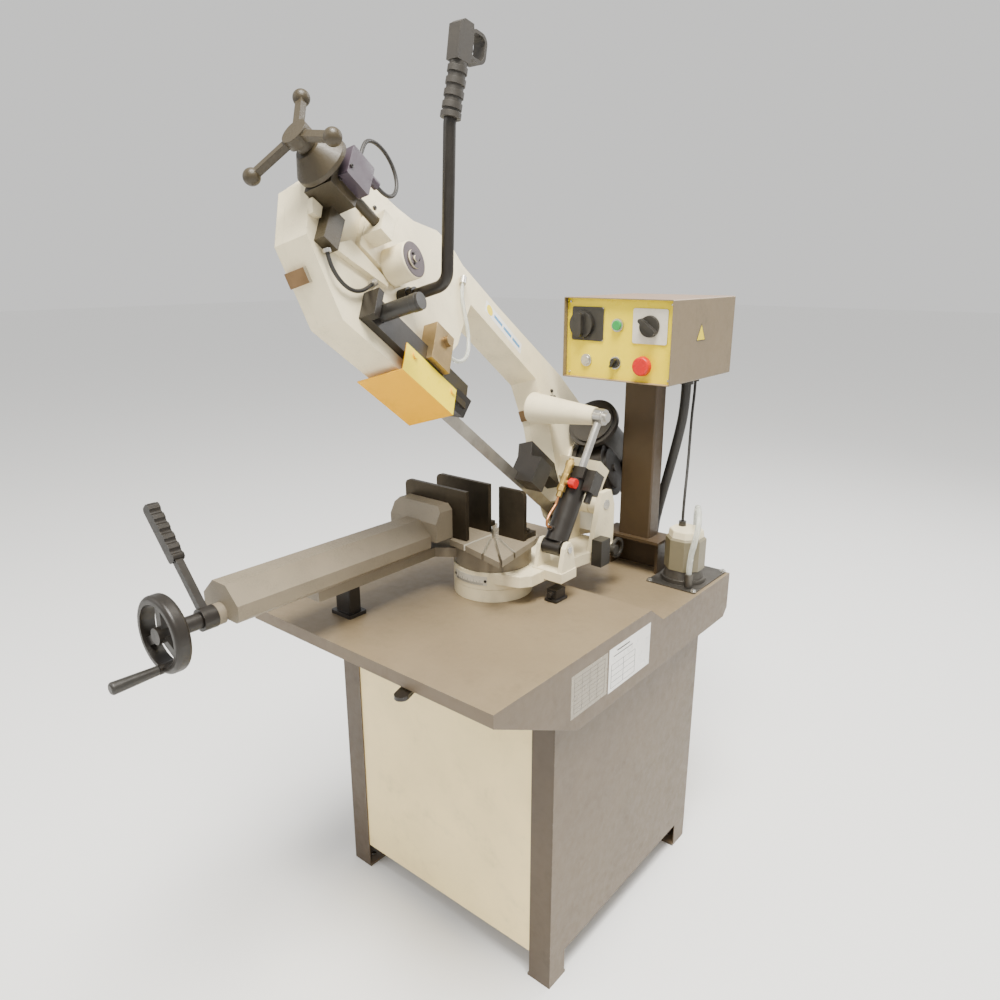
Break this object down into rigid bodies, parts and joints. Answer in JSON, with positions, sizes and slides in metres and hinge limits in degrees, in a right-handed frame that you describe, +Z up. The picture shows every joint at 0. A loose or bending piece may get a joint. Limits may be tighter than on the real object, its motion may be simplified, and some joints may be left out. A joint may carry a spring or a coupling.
{
  "type": "mitre band saw",
  "caption": "Manual mitre band saw on a sheet-metal stand, with a raised swivelling bow, screw vise, feed cylinder, coolant pump and control box.",
  "frame": {"origin": "on the floor at the centre of the four anchor-bolt holes in the stand's feet", "axes": "+Z up, +Y from the operator towards the rear where the bow is hinged, +X to the operator's right"},
  "size_m": [0.684, 1.4805, 1.901],
  "materials": {
    "grey_paint": "semi-gloss",
    "cream_paint": "semi-gloss",
    "white_paint": "semi-gloss",
    "vise_paint": "hammered",
    "black_paint": "satin",
    "olive_paint": "satin",
    "ground_steel": "ground",
    "blade_steel": "rolled",
    "cast_metal": "machined",
    "brass_parts": "turned",
    "black_plastic": "moulded",
    "grip_rubber": "matt",
    "cable_rubber": "matt",
    "clear_hose": "clear",
    "yellow_panel": "gloss",
    "guard_orange": "gloss",
    "red_plastic": "moulded",
    "bronze_parts": "satin",
    "button_metal": "polished"
  },
  "bodies": {
    "base": {"cabinet_sides": "grey_paint", "cabinet_panels": "cream_paint", "cabinet_decks": "grey_paint", "drip_tray": "grey_paint", "coolant_tank": "grey_paint", "pump_base": "cast_metal", "pump_motor": "olive_paint", "control_column": "grey_paint", "control_box": "grey_paint", "control_panel": "yellow_panel", "panel_fittings": "button_metal", "turntable_base": "white_paint", "vise_table": "vise_paint", "fixed_jaw_right": "black_paint", "table_hardware": "black_paint", "cable_glands": "black_plastic", "pump_cable": "cable_rubber", "control_conduit": "cable_rubber", "pump_hose": "clear_hose"},
    "main_switch": {"main_switch_knob": "black_plastic"},
    "cam_switch": {"cam_switch_knob": "black_plastic"},
    "mode_switch": {"mode_switch_knob": "black_plastic"},
    "start_push": {"start_button": "button_metal"},
    "stop_push": {"emergency_stop_button": "red_plastic"},
    "left_jaw": {"fixed_jaw_left": "black_paint"},
    "lock_lever": {"turntable_lock_lever": "black_paint"},
    "vise": {"vise_body": "vise_paint", "moving_jaw": "black_paint"},
    "clamp_lever": {"vise_lever": "black_paint"},
    "vise_screw": {"vise_handwheel": "black_paint"},
    "crank": {"crank_grip": "black_plastic"},
    "head": {"swivel_arm": "white_paint", "head_fittings": "ground_steel"},
    "index": {"index_plunger": "black_plastic"},
    "feed_barrel": {"cylinder_barrel": "black_paint", "feed_valve": "brass_parts"},
    "flow_knob": {"flow_control_knob": "red_plastic"},
    "feed_rod": {"cylinder_rod": "ground_steel"},
    "bow": {"bow_casting": "white_paint", "blade_cover": "white_paint", "saw_blade": "blade_steel", "tension_housing": "black_paint", "gearbox": "black_paint", "drive_motor": "black_paint", "rear_guide": "black_paint", "guide_clamp": "bronze_parts", "handle_tube": "black_paint", "handle_grip": "grip_rubber", "bow_fittings": "ground_steel", "coolant_hose": "clear_hose", "tension_wire": "cable_rubber", "switch_wire": "cable_rubber"},
    "drive": {"drive_wheel": "cast_metal"},
    "carriage": {"idler_carriage": "white_paint"},
    "idler": {"idler_wheel": "cast_metal"},
    "tension": {"tension_handle": "olive_paint"},
    "guide": {"guide_arm": "black_paint", "blade_guard": "guard_orange"},
    "guide_lock": {"guide_arm_lock": "black_plastic"},
    "trigger": {"grip_trigger": "black_plastic"}
  },
  "joints": [
    {"name": "head_swivel", "type": "hinge", "parent": "base", "child": "head", "pos_m": [-0.008, -0.111, 0.85], "axis": [0, 0, 1], "range_deg": [0, 60]},
    {"name": "bow_pivot", "type": "hinge", "parent": "head", "child": "bow", "pos_m": [0, 0.128, 0.967], "axis": [1, 0, 0], "range_deg": [0, 38]},
    {"name": "cylinder_tilt", "type": "hinge", "parent": "head", "child": "feed_barrel", "pos_m": [0.132, -0.066, 0.914], "axis": [1, 0, 0], "range_deg": [0, 20.7]},
    {"name": "rod_slide", "type": "slide", "parent": "feed_barrel", "child": "feed_rod", "axis": [0, 0.5351, 0.8448], "range_m": [-0.106, 0]},
    {"name": "drive_spin", "type": "hinge", "parent": "bow", "child": "drive", "pos_m": [-0.05566, 0.25524, 0.97718], "axis": [0.9336, 0.2206, 0.2824], "continuous": true},
    {"name": "carriage_slide", "type": "slide", "parent": "bow", "child": "carriage", "axis": [0, 0.788, -0.6157], "range_m": [0, 0.0046]},
    {"name": "idler_spin", "type": "hinge", "parent": "carriage", "child": "idler", "pos_m": [-0.05566, -0.40668, 1.49434], "axis": [0.9336, 0.2206, 0.2824], "continuous": true},
    {"name": "tension_turn", "type": "hinge", "parent": "bow", "child": "tension", "pos_m": [0.00705, -0.57685, 1.6891], "axis": [0, -0.788, 0.6157], "range_deg": [0, 420]},
    {"name": "guide_slide", "type": "slide", "parent": "bow", "child": "guide", "axis": [0, -0.788, 0.6157], "range_m": [-0.1, 0]},
    {"name": "guide_lock_turn", "type": "hinge", "parent": "guide", "child": "guide_lock", "pos_m": [0.04085, -0.4647, 1.43308], "axis": [0.9336, 0.2206, 0.2824], "range_deg": [-90, 0]},
    {"name": "trigger_pull", "type": "hinge", "parent": "bow", "child": "trigger", "pos_m": [0.10139, -0.30382, 1.88437], "axis": [-1, 0, 0], "range_deg": [0, 6], "stiffness_Nm_per_rad": 0.3},
    {"name": "flow_knob_turn", "type": "hinge", "parent": "feed_barrel", "child": "flow_knob", "pos_m": [0.145, -0.02097, 1.05238], "axis": [1, 0, 0], "range_deg": [-270, 0]},
    {"name": "index_pull", "type": "slide", "parent": "head", "child": "index", "axis": [1, 0, 0], "range_m": [0, 0.012], "stiffness_N_per_m": 600},
    {"name": "vise_slide", "type": "slide", "parent": "base", "child": "vise", "axis": [0, 1, 0], "range_m": [-0.1262, 0.0706]},
    {"name": "vise_handwheel_turn", "type": "hinge", "parent": "vise", "child": "vise_screw", "pos_m": [-0.133, -0.836, 0.912], "axis": [0, 1, 0], "range_deg": [-7560, 4230]},
    {"name": "vise_lever_turn", "type": "hinge", "parent": "vise", "child": "clamp_lever", "pos_m": [-0.133, -0.756, 0.912], "axis": [0, 1, 0], "range_deg": [-60, 25]},
    {"name": "crank_spin", "type": "hinge", "parent": "vise_screw", "child": "crank", "pos_m": [-0.133, -0.89, 0.85], "axis": [0, 1, 0], "continuous": true},
    {"name": "left_jaw_slide", "type": "slide", "parent": "base", "child": "left_jaw", "axis": [-1, 0, 0], "range_m": [0, 0.11]},
    {"name": "lock_lever_turn", "type": "hinge", "parent": "base", "child": "lock_lever", "pos_m": [-0.008, -0.111, 0.756], "axis": [0, 0, 1], "range_deg": [-25, 15]},
    {"name": "main_switch_turn", "type": "hinge", "parent": "base", "child": "main_switch", "pos_m": [0, 0.218, 1.376], "axis": [0, 1, 0], "range_deg": [0, 90]},
    {"name": "cam_switch_turn", "type": "hinge", "parent": "base", "child": "cam_switch", "pos_m": [0.184, 0.218, 1.379], "axis": [0, 1, 0], "range_deg": [-45, 45]},
    {"name": "mode_switch_turn", "type": "hinge", "parent": "base", "child": "mode_switch", "pos_m": [0.096, 0.218, 1.29], "axis": [0, 1, 0], "range_deg": [-45, 45]},
    {"name": "start_press", "type": "slide", "parent": "base", "child": "start_push", "axis": [0, 1, 0], "range_m": [0, 0.0035], "stiffness_N_per_m": 500},
    {"name": "stop_press", "type": "slide", "parent": "base", "child": "stop_push", "axis": [0, 1, 0], "range_m": [0, 0.005], "stiffness_N_per_m": 800}
  ],
  "couplings": [
    {"joint": "cylinder_tilt", "follows": "bow_pivot", "ratio": 0.542},
    {"joint": "rod_slide", "follows": "bow_pivot", "m_per_rad": -0.159},
    {"joint": "idler_spin", "follows": "drive_spin", "ratio": 1},
    {"joint": "tension_turn", "follows": "carriage_slide", "rad_per_m": 1570.8},
    {"joint": "vise_slide", "follows": "vise_handwheel_turn", "m_per_rad": 0.00095493}
  ]
}
